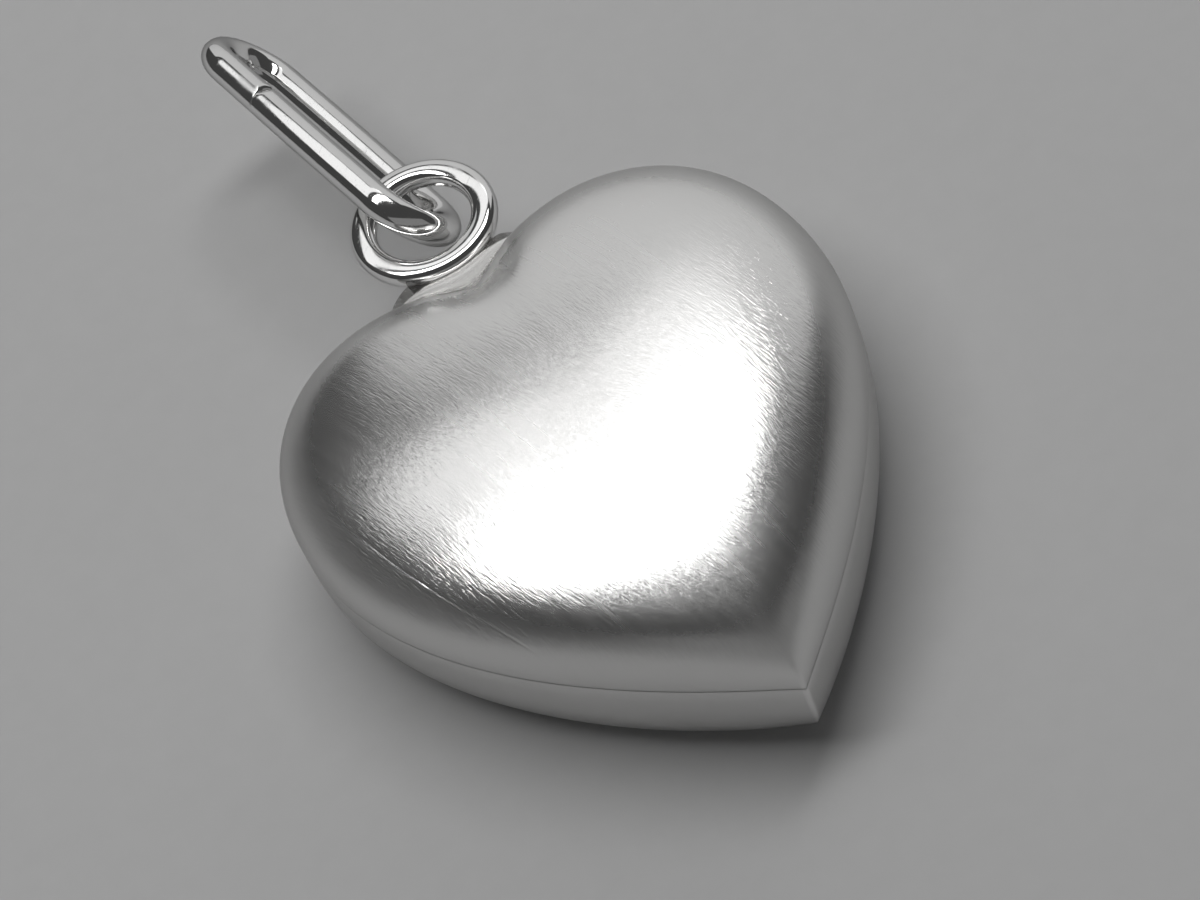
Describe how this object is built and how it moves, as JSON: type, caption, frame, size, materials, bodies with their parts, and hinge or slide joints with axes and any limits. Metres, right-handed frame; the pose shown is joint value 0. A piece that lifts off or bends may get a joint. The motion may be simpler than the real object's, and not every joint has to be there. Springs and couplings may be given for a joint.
{
  "type": "heart pendant",
  "caption": "Hollow puffed heart pendant of two soldered shells, with a soldered wire eyelet and an oval wire bail that swings on it for a chain.",
  "frame": {"origin": "middle of the flat on the back shell, on which the pendant lies", "axes": "+Z out of the heart's front, +Y from the heart's tip to the eyelet, +X across the heart to the viewer's right"},
  "size_m": [0.015, 0.0271, 0.0058],
  "materials": {
    "satin_silver": "brushed satin",
    "polished_silver": "polished",
    "solder": "cleaned and polished"
  },
  "bodies": {
    "heart": {"front_shell": "satin_silver", "back_shell": "satin_silver", "seam_solder": "solder", "eyelet": "polished_silver", "eyelet_solder": "solder"},
    "bail": {"bail": "polished_silver"}
  },
  "joints": [
    {"name": "bail_swing", "type": "hinge", "parent": "heart", "child": "bail", "pos_m": [-0.00003, 0.01072, 0.00345], "axis": [0.993, 0.1184, 0], "range_deg": [-129, 138]}
  ]
}
